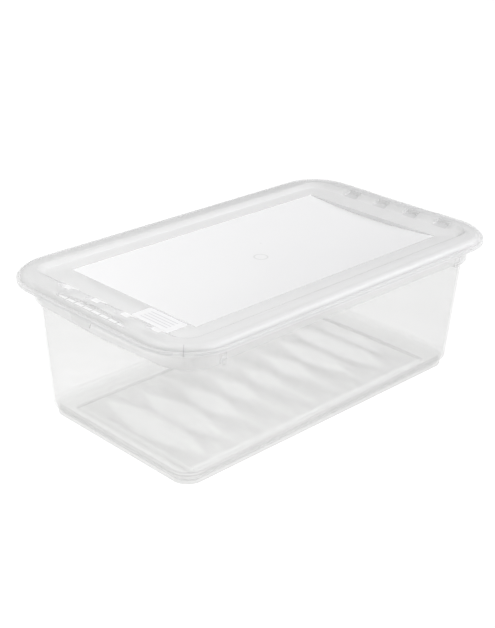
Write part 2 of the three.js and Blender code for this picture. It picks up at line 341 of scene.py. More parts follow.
def together(name, solids):
    """One object from several separate closed solids."""
    vertices, faces = [], []
    for solid_vertices, solid_faces in solids:
        faces += [tuple(i + len(vertices) for i in face) for face in solid_faces]
        vertices += list(solid_vertices)
    return make_object(name, vertices, faces)


def combine(target, other, operation):
    """Joins or cuts target by other, which is used up."""
    modifier = target.modifiers.new("join", "BOOLEAN")
    modifier.object = other
    modifier.operation = operation
    modifier.solver = "EXACT"
    depsgraph = bpy.context.evaluated_depsgraph_get()
    result = bpy.data.meshes.new_from_object(target.evaluated_get(depsgraph))
    target.modifiers.clear()
    target.data = result
    bpy.data.objects.remove(other)


def round_rectangle(half_u, half_v, r, centre=(0, 0), steps=5):
    points = []
    for k, (su, sv) in enumerate(((1, 1), (-1, 1), (-1, -1), (1, -1))):
        mid_u, mid_v = centre[0] + su * (half_u - r), centre[1] + sv * (half_v - r)
        for a in np.linspace(k * math.pi / 2, (k + 1) * math.pi / 2, steps + 1):
            points.append((mid_u + r * math.cos(a), mid_v + r * math.sin(a)))
    return points


def finish_mesh(obj):
    obj.data.shade_smooth()
    obj.data.set_sharp_from_angle(angle=math.radians(SHARP_DEGREES))


def paint(obj, name, values, domain="POINT"):
    """A number on each vertex, or on each face, that the materials read."""
    attribute = obj.data.attributes.new(name, "FLOAT", domain)
    attribute.data.foreach_set("value", np.asarray(values, np.float32))


def outside_of(outline, x, y):
    """How far places in plan are outside a rounded rectangle; negative inside it."""
    over_x, over_y = np.abs(x) - outline.x + outline.r, np.abs(y) - outline.y + outline.r
    corner = np.hypot(np.maximum(over_x, 0), np.maximum(over_y, 0))
    return corner + np.minimum(np.maximum(over_x, over_y), 0) - outline.r


def vectors(items, key):
    """One vector property of all the vertices or faces of a mesh, as rows x, y and z."""
    values = np.zeros(len(items) * 3)
    items.foreach_get(key, values)
    return values.reshape(-1, 3).T


# ---- tub -------------------------------------------------------------------------------------
FROST_FADE = 0.7             # height over which the collar's frosting starts
BASE_FADE = (0.8, 1.25)      # where the thick base ends, as shares of the foot's height
SHADED_STEP_RING = (0.1, 1.7)       # painted shade in a ring at the floor's step, outwards from the wavy floor
FOOT_SHADE = 1.0             # how far the foot's lower edge goes towards the painted shade's darker tint
FOOT_EDGE = 1.3              # what counts as the foot's outer wall, inwards from its outline
FOOT_FADE = (1.5, 3)         # height over which the foot's painted darker edge ends
RIPPLE_SHADE_AMOUNT = 0.8            # how far the painted shade between the wavy floor's painted light tongues goes towards the darker tint
# The tongues and scallops are lighter streaks painted on the wavy floor in place of its reflections, with
# painted shade between them.
TONGUE_PHASE = 0.25          # the tongues lie on the ridges' flanks, a quarter pitch from the troughs
TONGUE_START = 36            # the middle tongue's tip, from the wavy floor's long side
TONGUE_LEAST = 4             # the same for the outermost tongues
TONGUE_ARC = 105             # how far along the tub the arc of tips reaches that side
TONGUE_LENGTH = 40           # from a tip to the tongue's full width
TONGUE_SPREAD = 1.05         # full width, as a share of the ridges' pitch
TONGUE_SOFT = 0.09
SCALLOP_LENGTH = 18          # the short painted light scallops along the long side, between the tongues
SCALLOP_SPREAD = 0.16
SCALLOP_SHARE = 0.7          # how light the scallops are painted beside the tongues
END_WEDGE = (22, 4)          # strip of painted shade along the short sides: width at the corners and in the middle
WEDGE_SOFT = 2


def wave_height(x, y):
    """Top of the wavy floor: ridges across the tub that die out towards both long sides."""
    taper = np.clip((WAVE.y - np.abs(y)) / WAVE_TAPER, 0, 1)
    return WAVE_MEAN - WAVE_AMPLITUDE * taper * np.cos(2 * math.pi * x / WAVE_PITCH)


def painted_ripple_shade(x, y):
    """Painted shade and reflections on the wavy floor: 1 where it is painted dark, 0 in painted light
    tongues that point at both long sides.
    """
    from_side = WAVE.y - np.abs(y)
    across = 2 * np.abs((x / WAVE_PITCH + TONGUE_PHASE) % 1 - 0.5)
    start = np.maximum(TONGUE_START * (1 - (x / TONGUE_ARC) ** 2), TONGUE_LEAST)
    tongue = TONGUE_SPREAD * np.clip((from_side - start) / TONGUE_LENGTH, 0, 1)
    scallop = SCALLOP_SPREAD * np.sin(math.pi * np.clip(from_side / SCALLOP_LENGTH, 0, 1))
    tongue_lit = smooth_step(tongue - across, -TONGUE_SOFT, TONGUE_SOFT)
    scallop_lit = SCALLOP_SHARE * smooth_step(scallop - (1 - across), -TONGUE_SOFT, TONGUE_SOFT)
    corner, middle = END_WEDGE
    wedge = corner + (middle - corner) * from_side / WAVE.y
    between_wedges = smooth_step(WAVE.x - np.abs(x) - wedge, -WEDGE_SOFT, WEDGE_SOFT)
    lit = np.maximum(tongue_lit, scallop_lit) * between_wedges
    return (outside_of(WAVE, x, y) < 0) * (1 - lit)


def tub_rows():
    foot_top = grow(FOOT, FOOT_LEAN)
    collar = grow(WALL_TOP, COLLAR_OUT)
    collar_top = grow(collar, COLLAR_LEAN)

    def inside(outline):
        return grow(outline, -TUB_SKIN)

    under = [
        node(WAVE, WAVE_MEAN - FLOOR_SKIN),
        node(grow(WAVE, FLOOR_STEP / 2), WAVE_MEAN - FLOOR_SKIN - FLOOR_LIP, soft=0.5),
        node(grow(WAVE, FLOOR_STEP), 0, soft=0.5),
    ]
    outer = [
        node(FOOT, 0, soft=1.2),
        node(foot_top, FOOT_HEIGHT - FOOT_LIP_HEIGHT, soft=0.9),
        node(grow(foot_top, FOOT_LIP), FOOT_HEIGHT, soft=0.3),
        node(WALL_BOTTOM, FOOT_HEIGHT, soft=1.8),
        node(WALL_TOP, COLLAR_BOTTOM, collar=1, soft=0.5),
        node(collar, COLLAR_BOTTOM + COLLAR_SLOPE, collar=1, soft=0.8),
        node(collar_top, FLANGE_BOTTOM, soft=0.5),
        node(FLANGE, FLANGE_BOTTOM, soft=0.35),
        node(FLANGE, FLANGE_TOP, soft=0.35),
        node(collar_top, FLANGE_TOP, soft=0.4),
        node(collar_top, RIM_TOP, soft=0.5),
    ]
    inner = [
        node(inside(collar_top), RIM_TOP, soft=0.5),
        node(inside(collar), COLLAR_BOTTOM + TUB_SKIN + COLLAR_SLOPE, collar=1, soft=0.6),
        node(inside(WALL_TOP), COLLAR_BOTTOM + TUB_SKIN, collar=1, soft=0.8),
        node(inside(WALL_BOTTOM), FOOT_HEIGHT + TUB_SKIN, soft=1.6),
        node(inside(foot_top), FOOT_HEIGHT + TUB_SKIN, soft=0.9),
        node(inside(FOOT), FLOOR_SKIN, soft=1.5),
        node(grow(WAVE, FLOOR_STEP), FLOOR_SKIN, soft=0.5),
        node(grow(WAVE, FLOOR_LIP), WAVE_MEAN - FLOOR_LIP, soft=0.5),
        node(WAVE, WAVE_MEAN),
    ]
    return rounded(under + outer + inner)


def gussets():
    """The small upright blocks on the long sides, where the collar's edge changes height."""
    face = WALL_TOP.y + COLLAR_OUT
    middle = (COLLAR_BOTTOM + FLANGE_BOTTOM) / 2 + GUSSET_RAISE
    half_height = (FLANGE_BOTTOM - COLLAR_BOTTOM) / 2
    blocks = []
    for sx in (-1, 1):
        for sy in (-1, 1):
            centre = (sx * (CORNER_COLLAR_X + GUSSET_WIDTH / 2), middle)
            outline = round_rectangle(GUSSET_WIDTH / 2, half_height, GUSSET_ROUND, centre)
            ends = sorted((sy * (face - TUB_SKIN / 2), sy * (face + GUSSET_PROUD)))
            blocks.append(prism(outline, *ends, axes="xzy"))
    return blocks


def paint_tub(tub):
    """frost: the collar and all above it. base: the thick base. The third attribute is painted shade on the
    base: a ring at the floor's step, the foot's lower edge, and the wavy floor between its painted light
    tongues.
    """
    x, y, z = vectors(tub.data.vertices, "co") / MM
    paint(tub, "frost", smooth_step(z - COLLAR_BOTTOM - collar_shift(x, y), 0, FROST_FADE))
    paint(tub, "base", 1 - smooth_step(z, *(share * FOOT_HEIGHT for share in BASE_FADE)))
    past_wave = outside_of(WAVE, x, y)
    # Painted shade: a ring at the floor's step and a strip along the foot's lower edge.
    ring = (past_wave > SHADED_STEP_RING[0]) & (past_wave < SHADED_STEP_RING[1])
    foot_wall = outside_of(FOOT, x, y) > -FOOT_EDGE
    edge = FOOT_SHADE * foot_wall * (1 - smooth_step(z, *FOOT_FADE))
    # Painted reflections on the wavy floor: shade everywhere but in the painted light tongues.
    ripple_shade = RIPPLE_SHADE_AMOUNT * painted_ripple_shade(x, y) * (z < FOOT_HEIGHT)
    paint(tub, "painted_shade", ring + edge + ripple_shade)


def make_tub():
    tub = closed_shell("bin_shell", tub_rows(), lambda x, y: wave_height(x, y) - FLOOR_SKIN, wave_height)
    combine(tub, together("gussets", gussets()), "UNION")
    finish_mesh(tub)
    paint_tub(tub)
    return tub


# ---- lid -------------------------------------------------------------------------------------
BAND_SHADE = 0.6            # how far the outer band goes towards the painted shade
NEAR = 0.1                  # how close a face has to be to a floor's level to belong to it
WALL_NEAR = 0.3             # the same for the panel's end walls and the band's lower edge
RECESS_MARGIN = 0.5
FACING_UP = 0.9             # least upward part of a floor's normal
FACING_OUT = 0.7            # least lengthwise part of an end wall's normal
UPRIGHT = 0.5               # most upward part of the band's normal


def trough_height(x, y):
    """Surface of the dished panel: an arc across the lid, straight along it."""
    radius = (PANEL.y**2 + PANEL_DEPTH**2) / (2 * PANEL_DEPTH)
    return WELL_LEVEL - PANEL_STEP - PANEL_DEPTH + radius - math.sqrt(radius**2 - y**2)


def shoulder_rows(radius, degrees):
    rows = []
    for angle in np.radians(degrees):
        level = LID_TOP - SHOULDER + radius * math.cos(angle)
        rows.append(node(grow(LEDGE, radius * math.sin(angle)), level))
    return rows


def lid_rows():
    """The lid's profile in two parts: the hollow underside, from the panel out, and the outside, back in."""
    inner = SHOULDER - LID_SKIN
    hollow = [
        node(grow(PANEL, LID_SKIN)._replace(r=0), 0),
        node(grow(PANEL, LID_SKIN), WELL_LEVEL - LID_SKIN),
        node(grow(WELL_BOTTOM, WELL_SLOPE_OFFSET), WELL_LEVEL - LID_SKIN, soft=0.6),
        node(grow(WELL_TOP, WELL_SLOPE_OFFSET), LID_TOP - LID_SKIN, soft=0.8),
        *shoulder_rows(inner, np.linspace(0, 90, 7)),
        node(grow(LEDGE, inner), BAND_ROOF, soft=0.2),
        node(grow(BAND, -LID_SKIN), BAND_ROOF, soft=0.4),
        node(grow(BAND, -LID_SKIN), BAND_BOTTOM, soft=0.35),
    ]
    outside = [
        node(BAND, BAND_BOTTOM, soft=0.5),
        node(BAND, SHOULDER_BOTTOM, soft=0.7),
        node(grow(LEDGE, SHOULDER + SHOULDER_LIP), SHOULDER_BOTTOM, soft=0.25),
        *shoulder_rows(SHOULDER, np.linspace(82, 0, 10)),
        node(WELL_TOP, LID_TOP, soft=0.9),
        node(WELL_BOTTOM, WELL_LEVEL, soft=0.9),
        node(PANEL._replace(r=PANEL_ROUND), WELL_LEVEL, soft=0.15),
        node(PANEL, 0),
    ]
    return hollow, outside


def notch_cuts(grown, bottom, top, outer):
    """Rounded blocks at the notches, all grown sideways by the same amount."""
    blocks = []
    for end in (-1, 1):
        for i in range(NOTCH_COUNT):
            y = NOTCH_OFFSET + NOTCH_PITCH * (i - (NOTCH_COUNT - 1) / 2)
            inner = WELL_BOTTOM.x - CUT_MARGIN / 2
            centre = (end * (inner + outer) / 2, y)
            outline = round_rectangle((outer - inner) / 2, NOTCH_WIDTH / 2 + grown, NOTCH_ROUND, centre)
            blocks.append(prism(outline, bottom, top))
    return blocks


def recess_outline(end, grown, reach):
    """Lens-shaped finger recess: an arc inside, open to the shoulder outside."""
    half = RECESS_LENGTH / 2
    radius = (half**2 + RECESS_WIDTH**2) / (2 * RECESS_WIDTH)
    centre = RECESS_X - RECESS_WIDTH + radius
    spread = half + grown
    points = [(end * reach, RECESS_OFFSET - spread)]
    for y in np.linspace(-spread, spread, RECESS_STEPS):
        points.append((end * (centre - math.sqrt((radius + grown) ** 2 - y**2)), RECESS_OFFSET + y))
    points.append((end * reach, RECESS_OFFSET + spread))
    return points if end < 0 else points[::-1]


def grip_ribs():
    ribs = []
    low = LID_TOP - RECESS_DEPTH - GRIP_SINK
    for end in (-1, 1):
        for i in range(GRIP_RIBS):
            y = RECESS_OFFSET + GRIP_PITCH * (i - (GRIP_RIBS - 1) / 2)
            centre = (end * (RECESS_X - RECESS_WIDTH - GRIP_OVERLAP + GRIP_LENGTH / 2), y)
            outline = round_rectangle(GRIP_LENGTH / 2, GRIP_WIDTH / 2, GRIP_WIDTH * GRIP_ROUND, centre)
            ribs.append(prism(outline, low, LID_TOP - GRIP_SINK))
    return ribs


def tab_outline():
    """Snap tab seen from its end: straight sides that taper down to a rounded foot."""
    half, foot = TAB_WIDTH / 2, TAB_WIDTH / 2 - TAB_TAPER
    points = [(half, TAB_TOP), (-half, TAB_TOP)]
    for side, turn in ((-1, math.pi), (1, 1.5 * math.pi)):
        for a in np.linspace(turn, turn + math.pi / 2, TAB_STEPS):
            across = side * (foot - TAB_ROUND) + TAB_ROUND * math.cos(a)
            points.append((across, TAB_BOTTOM + TAB_ROUND * (1 + math.sin(a))))
    return points


def snap_tabs():
    tabs = []
    for end in (-1, 1):
        faces = sorted((end * TAB_X, end * (TAB_X - TAB_THICKNESS)))
        tabs.append(prism(tab_outline(), *faces, axes="yzx"))
    return tabs


def backing_solids(outside):
    """Plastic added behind the notches and recesses, kept inside the lid's own outside."""
    top = LID_TOP - BACKING_DROP
    solids = notch_cuts(NOTCH_SKIN, WELL_LEVEL - LID_SKIN, top, NOTCH_X + NOTCH_SKIN)
    for end in (-1, 1):
        outline = recess_outline(end, RECESS_WALL, LEDGE.x + SHOULDER)
        solids.append(prism(outline, LID_TOP - RECESS_DEPTH - RECESS_SKIN, top))
    backing = together("backing", solids)
    combine(backing, capped_body("envelope", rounded(outside[:-2])), "INTERSECT")
    return backing


def lid_cuts():
    top = LID_TOP + CUT_MARGIN
    cuts = notch_cuts(0, WELL_LEVEL, top, NOTCH_X)
    for end in (-1, 1):
        outline = recess_outline(end, 0, LEDGE.x + SHOULDER + CUT_MARGIN)
        cuts.append(prism(outline, LID_TOP - RECESS_DEPTH, top))
    return cuts


def paint_lid(lid):
    """panel: its frosted finish. The next two are painted light: highlights on the floors at the near end,
    and shade on the end walls, the far notch floors and the band.
    """
    x, y, z = vectors(lid.data.polygons, "center") / MM
    along, _, upward = np.abs(vectors(lid.data.polygons, "normal"))
    away, aside = np.abs(x), np.abs(y)
    level = vectors(lid.data.polygons, "normal")[2] > FACING_UP
    at_well, at_recess = (np.abs(z - height) < NEAR for height in (WELL_LEVEL, LID_TOP - RECESS_DEPTH))
    notch_floor = level & at_well & (away > WELL_BOTTOM.x) & (away < NOTCH_X)
    recess_floor = level & at_recess & (away > RECESS_X - RECESS_WIDTH - RECESS_MARGIN)
    end_wall = (np.abs(away - PANEL.x) < WALL_NEAR) & (aside < PANEL.y) & (along > FACING_OUT)
    outer = (away > LEDGE.x - CUT_MARGIN) | (aside > LEDGE.y - CUT_MARGIN)
    band = outer & (z < SHOULDER_BOTTOM) & (z > BAND_BOTTOM - WALL_NEAR) & (upward < UPRIGHT)
    paint(lid, "panel", (away < PANEL.x) & (aside < PANEL.y) & ~end_wall, "FACE")
    # Painted highlight: the notch and recess floors of the near end only are made lighter.
    paint(lid, "painted_highlight", (notch_floor | recess_floor) & (x < 0), "FACE")
    # Painted shade: the panel's end walls, the far end's notch floors and the outer band are made darker.
    paint(lid, "shade", (end_wall | (notch_floor & (x > 0))) + BAND_SHADE * band, "FACE")


def make_lid():
    hollow, outside = lid_rows()
    rows = rounded(hollow + outside)
    lid = closed_shell("lid_shell", rows, lambda x, y: trough_height(x, y) - LID_SKIN, trough_height)
    combine(lid, backing_solids(outside), "UNION")
    combine(lid, together("cuts", lid_cuts()), "DIFFERENCE")
    combine(lid, together("additions", grip_ribs() + snap_tabs()), "UNION")
    finish_mesh(lid)
    paint_lid(lid)
    return lid


# ---- label -----------------------------------------------------------------------------------
def make_label():
    """The paper label, stuck down on the lid's border, with a softened edge."""
    centre = ((LABEL_LOW[0] + LABEL_HIGH[0]) / 2, (LABEL_LOW[1] + LABEL_HIGH[1]) / 2)
    half = ((LABEL_HIGH[0] - LABEL_LOW[0]) / 2, (LABEL_HIGH[1] - LABEL_LOW[1]) / 2)
    levels = ((0, LABEL_GAP), (0, LABEL_THICKNESS - LABEL_EDGE), (LABEL_EDGE, LABEL_THICKNESS))
    vertices, faces = [], []
    for inset, level in levels:
        r = LABEL_ROUND - inset
        outline = round_rectangle(half[0] - inset, half[1] - inset, r, centre, LABEL_STEPS)
        vertices += [(u, v, WELL_LEVEL + level) for u, v in outline]
    n = len(vertices) // len(levels)
    for low in (0, n):
        for i in range(n):
            j = (i + 1) % n
            faces.append((low + i, low + j, low + n + j, low + n + i))
    faces += [tuple(range(n))[::-1], tuple(range(2 * n, 3 * n))]
    label = make_object("label_sticker", vertices, faces)
    finish_mesh(label)
    return label


# ---- materials -------------------------------------------------------------------------------
# Lengths in millimetres. Pairs are the ends of a range that cloudy noise picks from.
PANEL_LOW = WELL_LEVEL - PANEL_STEP - PANEL_DEPTH
GATE_RING_CENTRE = (0, 0, PANEL_LOW)
GATE_PIP_CENTRE = (19, 19, PANEL_LOW)
GATE_RING = 5.0
GATE_LINE = 0.9
GATE_PIP = 1.1
SEAM_WIDTH = 0.6
SEAM_INSET = 8
# Row of painted highlight dashes on the near end's finger recess floors.
DASH_ROW = 157.6
DASH_WIDTH = 1.3            # half the width of the row
DASH_GAP = 0.6              # half the gap between two dashes
RULE_COUNT = 4
RULE_START = 4.0            # from the label's outer edge to the first printed rule
RULE_PITCH = 3.0
RULE_WIDTH = 0.5
RULE_HALF = 13.0

PLASTIC_IOR = 1.49
PAPER_IOR = 1.45
HAZE_ROUGHNESS = 0.6
THROUGH_SHARE = 0.3         # how much of the haze's light comes through from behind
FACE_MIRROR = 0.04          # share mirrored when seen square on
EDGE_MIRROR = 0.7           # and edge-on
BASE_GLOSS = 1.25           # how much more the thick base mirrors than the walls
MILKY_GLOSS = 0.9           # the same for the lid
GLOSS_COLOUR = (0.86, 0.86, 0.86)

CLEAR_CLOUDS = 9            # noise features are 1 / this many metres
CLEAR_STRETCH = (1, 1, 2.2)
CLEAR_PATCHY = (0.9, 1.1)
CLEAR_HAZE = 0.055
FROST_HAZE = 0.24
BASE_HAZE = 0.12
CLEAR_ROUGH = (0.04, 0.07)
FROST_ROUGH = (0.27, 0.33)
CLEAR_COLOURS = ((0.88, 0.88, 0.875), (0.905, 0.905, 0.905))
CLEAR_TINT = (0.966, 0.966, 0.965)
BASE_TINT = (0.95, 0.95, 0.947)
# darker tint of the painted shade on the tub's base
PAINTED_SHADE_TINT = (0.88, 0.88, 0.875)

MILKY_CLOUDS = 7
MILKY_PATCHY = (0.96, 1.04)
MILKY_HAZE = 0.4
# The panel's haze, also given to the painted highlights.
PANEL_HAZE = 0.8
SEAM_HAZE = 0.3
MILKY_ROUGH = (0.18, 0.24)
PANEL_ROUGH = (0.32, 0.38)
MILKY_COLOURS = ((0.87, 0.87, 0.865), (0.89, 0.89, 0.89))
# Colour of the frosted panel and of the painted highlights.
PANEL_AND_HIGHLIGHT_COLOUR = (0.93, 0.93, 0.93)
SHADE_COLOUR = (0.77, 0.77, 0.775)
MARK_COLOUR = (0.76, 0.77, 0.76)
SEAM_COLOUR = (0.3, 0.3, 0.3)
MILKY_TINT = (0.96, 0.96, 0.96)
SHADE_TINT = (0.9, 0.9, 0.9)

PAPER_FIBRES = 900
PAPER_COLOURS = ((0.76, 0.76, 0.76), (0.8, 0.8, 0.8))
PAPER_ROUGH = (0.5, 0.65)
PAPER_RELIEF = 0.00004      # metres
INK_COLOUR = (0.3, 0.3, 0.32)
INK_STRENGTH = 0.6


class Nodes:
    """Short calls for the few node types that the materials use."""

    def __init__(self, name):
        self.material = bpy.data.materials.new(name)
        self.material.use_nodes = True
        self.tree = self.material.node_tree
        self.shader = self.tree.nodes["Principled BSDF"]
        self.place = self.add("ShaderNodeTexCoord").outputs["Object"]

    def add(self, kind, **settings):
        made = self.tree.nodes.new(kind)
        for key, value in settings.items():
            setattr(made, key, value)
        return made

    def put(self, value, socket):
        if isinstance(value, bpy.types.NodeSocket):
            self.tree.links.new(value, socket)
        else:
            socket.default_value = value

    def math(self, operation, *values, clamp=False):
        made = self.add("ShaderNodeMath", operation=operation, use_clamp=clamp)
        for value, socket in zip(values, made.inputs):
            self.put(value, socket)
        return made.outputs[0]

    def noise(self, scale, detail, stretch=None):
        """Noise from 0 to 1 whose features are about 1 / scale metres."""
        vector = self.place
        if stretch:
            mapping = self.add("ShaderNodeMapping")
            self.put(vector, mapping.inputs["Vector"])
            mapping.inputs["Scale"].default_value = stretch
            vector = mapping.outputs["Vector"]
        made = self.add("ShaderNodeTexNoise")
        self.put(vector, made.inputs["Vector"])
        made.inputs["Scale"].default_value = scale
        made.inputs["Detail"].default_value = detail
        return made.outputs["Fac"]

    def attribute(self, name):
        return self.add("ShaderNodeAttribute", attribute_name=name).outputs["Fac"]

    def blend(self, factor, low, high):
        """Linear mix of two numbers."""
        made = self.add("ShaderNodeMapRange", clamp=False)
        self.put(factor, made.inputs["Value"])
        self.put(low, made.inputs["To Min"])
        self.put(high, made.inputs["To Max"])
        return made.outputs["Result"]

    def colour(self, factor, low, high):
        made = self.add("ShaderNodeMix", data_type="RGBA")
        self.put(factor, made.inputs["Factor"])
        self.put((*low, 1) if isinstance(low, tuple) else low, made.inputs["A"])
        self.put((*high, 1) if isinstance(high, tuple) else high, made.inputs["B"])
        return made.outputs["Result"]

    def bump(self, height, distance, strength):
        made = self.add("ShaderNodeBump")
        made.inputs["Distance"].default_value = distance
        made.inputs["Strength"].default_value = strength
        self.put(height, made.inputs["Height"])
        self.put(made.outputs["Normal"], self.shader.inputs["Normal"])

    def set(self, **inputs):
        for key, value in inputs.items():
            self.put(value, self.shader.inputs[key.replace("_", " ")])

    def band(self, value, centre, half):
        """1 where value is at centre, falling to 0 at half away from it."""
        away = self.math("ABSOLUTE", self.math("SUBTRACT", value, centre))
        return self.math("SUBTRACT", 1.0, self.math("DIVIDE", away, half), clamp=True)

    def gate_mark(self):
        """The moulding gate's witness: a small ring at the middle of the panel, with a pip beyond it."""
        ring, pip = (self.distance(centre) for centre in (GATE_RING_CENTRE, GATE_PIP_CENTRE))
        return self.math(
            "MAXIMUM",
            self.band(ring, GATE_RING * MM, GATE_LINE * MM),
            self.band(pip, 0.0, GATE_PIP * MM),
        )

    def distance(self, centre):
        made = self.add("ShaderNodeVectorMath", operation="DISTANCE")
        self.put(self.place, made.inputs[0])
        made.inputs[1].default_value = [v * MM for v in centre]
        return made.outputs["Value"]

    def axes(self):
        made = self.add("ShaderNodeSeparateXYZ")
        self.put(self.place, made.inputs[0])
        return made.outputs

    def corner_seam(self):
        """A fine line down the outside of each corner of the lid, where the mould's halves meet."""
        x, y, _ = self.axes()
        far_x = self.math("ABSOLUTE", x)
        diagonal = self.math("SUBTRACT", far_x, self.math("ABSOLUTE", y))
        line = self.band(diagonal, (LEDGE.x - LEDGE.y) * MM, SEAM_WIDTH * MM)
        outside = self.math("GREATER_THAN", far_x, (LEDGE.x - SEAM_INSET) * MM)
        return self.math("MULTIPLY", line, outside)

    def highlight_dashes(self):
        """Where highlights are painted: 1 on the notches, and in the finger recesses on a row of dashes
        along their outer side.
        """
        x, y, _ = self.axes()
        far_x = self.math("ABSOLUTE", x)
        row = self.math("GREATER_THAN", self.band(far_x, DASH_ROW * MM, DASH_WIDTH * MM), 0.0)
        shifted = self.math("SUBTRACT", y, (RECESS_OFFSET + GRIP_PITCH * (GRIP_RIBS - 1) / 2) * MM)
        to_rib = self.math("PINGPONG", shifted, GRIP_PITCH / 2 * MM)
        between = self.math("GREATER_THAN", to_rib, DASH_GAP * MM)
        notch = self.math("LESS_THAN", far_x, (NOTCH_X + CUT_MARGIN) * MM)
        return self.math("MAXIMUM", notch, self.math("MULTIPLY", row, between))

    def mirror(self, strength):
        """Share of light that one face of the sheet mirrors, rising as it is seen more edge-on."""
        weight = self.add("ShaderNodeLayerWeight")
        weight.inputs["Blend"].default_value = 0.5
        edge = self.math("POWER", weight.outputs["Facing"], 5.0)
        return self.math("MULTIPLY", self.blend(edge, FACE_MIRROR, EDGE_MIRROR), strength, clamp=True)

    def sheet(self, haze, colour, mirror, gloss_roughness, tint):
        """A plastic sheet: a haze that scatters light both ways, clear between, under a gloss."""
        self.set(Base_Color=colour, Roughness=HAZE_ROUGHNESS, IOR=PLASTIC_IOR, Specular_IOR_Level=0.0)
        through = self.add("ShaderNodeBsdfTranslucent")
        self.put(colour, through.inputs["Color"])
        cloudy = self.add("ShaderNodeMixShader")
        cloudy.inputs["Fac"].default_value = THROUGH_SHARE
        self.put(self.shader.outputs[0], cloudy.inputs[1])
        self.put(through.outputs[0], cloudy.inputs[2])
        clear = self.add("ShaderNodeMixShader")
        self.put(haze, clear.inputs["Fac"])
        open_part = self.add("ShaderNodeBsdfTransparent")
        self.put(tint, open_part.inputs["Color"])
        self.put(open_part.outputs[0], clear.inputs[1])
        self.put(cloudy.outputs[0], clear.inputs[2])
        gloss = self.add("ShaderNodeBsdfAnisotropic")
        gloss.inputs["Color"].default_value = (*GLOSS_COLOUR, 1)
        self.put(gloss_roughness, gloss.inputs["Roughness"])
        surface = self.add("ShaderNodeMixShader")
        self.put(mirror, surface.inputs["Fac"])
        self.put(clear.outputs[0], surface.inputs[1])
        self.put(gloss.outputs[0], surface.inputs[2])
        self.put(surface.outputs[0], self.tree.nodes["Material Output"].inputs["Surface"])


def clear_plastic():
    n = Nodes("clear_pp")
    cloud = n.noise(CLEAR_CLOUDS, 2, CLEAR_STRETCH)
    frost, base, painted_shade = (n.attribute(name) for name in ("frost", "base", "painted_shade"))
    haze = n.blend(frost, CLEAR_HAZE, FROST_HAZE)
    haze = n.math("ADD", haze, n.math("MULTIPLY", base, BASE_HAZE))
    haze = n.math("MULTIPLY", haze, n.blend(cloud, *CLEAR_PATCHY), clamp=True)
    colour = n.colour(cloud, *CLEAR_COLOURS)
    roughness = n.blend(frost, n.blend(cloud, *CLEAR_ROUGH), n.blend(cloud, *FROST_ROUGH))
    # Painted shade darkens what shows through the base wherever that attribute is set.
    tint = n.colour(painted_shade, n.colour(base, CLEAR_TINT, BASE_TINT), PAINTED_SHADE_TINT)
    n.sheet(haze, colour, n.mirror(n.blend(base, 1.0, BASE_GLOSS)), roughness, tint)
    return n.material


def milky_plastic():
    n = Nodes("milky_pp")
    cloud = n.noise(MILKY_CLOUDS, 2)
    panel, painted_highlight, shade = (n.attribute(name) for name in ("panel", "painted_highlight", "shade"))
    # The panel's frosted finish, and painted highlights on the near end's notch and recess floors.
    panel_or_highlight = n.math("MAXIMUM", panel, n.math("MULTIPLY", painted_highlight, n.highlight_dashes()))
    seam = n.corner_seam()
    haze = n.math("MULTIPLY", n.blend(panel_or_highlight, MILKY_HAZE, PANEL_HAZE), n.blend(cloud, *MILKY_PATCHY))
    haze = n.math("ADD", haze, n.math("MULTIPLY", seam, SEAM_HAZE), clamp=True)
    colour = n.colour(panel_or_highlight, n.colour(cloud, *MILKY_COLOURS), PANEL_AND_HIGHLIGHT_COLOUR)
    # Painted shade darkens the colour here and the tint below.
    colour = n.colour(shade, colour, SHADE_COLOUR)
    colour = n.colour(n.gate_mark(), colour, MARK_COLOUR)
    colour = n.colour(seam, colour, SEAM_COLOUR)
    roughness = n.blend(panel, n.blend(cloud, *MILKY_ROUGH), n.blend(cloud, *PANEL_ROUGH))
    tint = n.colour(shade, MILKY_TINT, SHADE_TINT)
    n.sheet(haze, colour, n.mirror(MILKY_GLOSS), roughness, tint)
    return n.material


def label_paper():
    """Paper with a few plain printed rules across it."""
    n = Nodes("label_paper")
    fibre = n.noise(PAPER_FIBRES, 3)
    x, y, _ = n.axes()
    middle = (LABEL_LOW[1] + LABEL_HIGH[1]) / 2
    off_middle = n.math("ABSOLUTE", n.math("SUBTRACT", y, middle * MM))
    within = n.math("LESS_THAN", off_middle, RULE_HALF * MM)
    rules = 0.0
    for k in range(RULE_COUNT):
        place = LABEL_LOW[0] + RULE_START + RULE_PITCH * k
        rules = n.math("MAXIMUM", n.band(x, place * MM, RULE_WIDTH * MM), rules)
    ink = n.math("MULTIPLY", n.math("MULTIPLY", rules, within), INK_STRENGTH)
    colour = n.colour(ink, n.colour(fibre, *PAPER_COLOURS), INK_COLOUR)
    n.set(Base_Color=colour, Roughness=n.blend(fibre, *PAPER_ROUGH), IOR=PAPER_IOR)
    n.bump(fibre, PAPER_RELIEF, 0.5)
    return n.material


def dress(obj, material, body, cad_node):
    obj.data.materials.clear()
    obj.data.materials.append(material)
    for face in obj.data.polygons:
        face.material_index = 0
    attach(obj, body)
    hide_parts(cad_node)


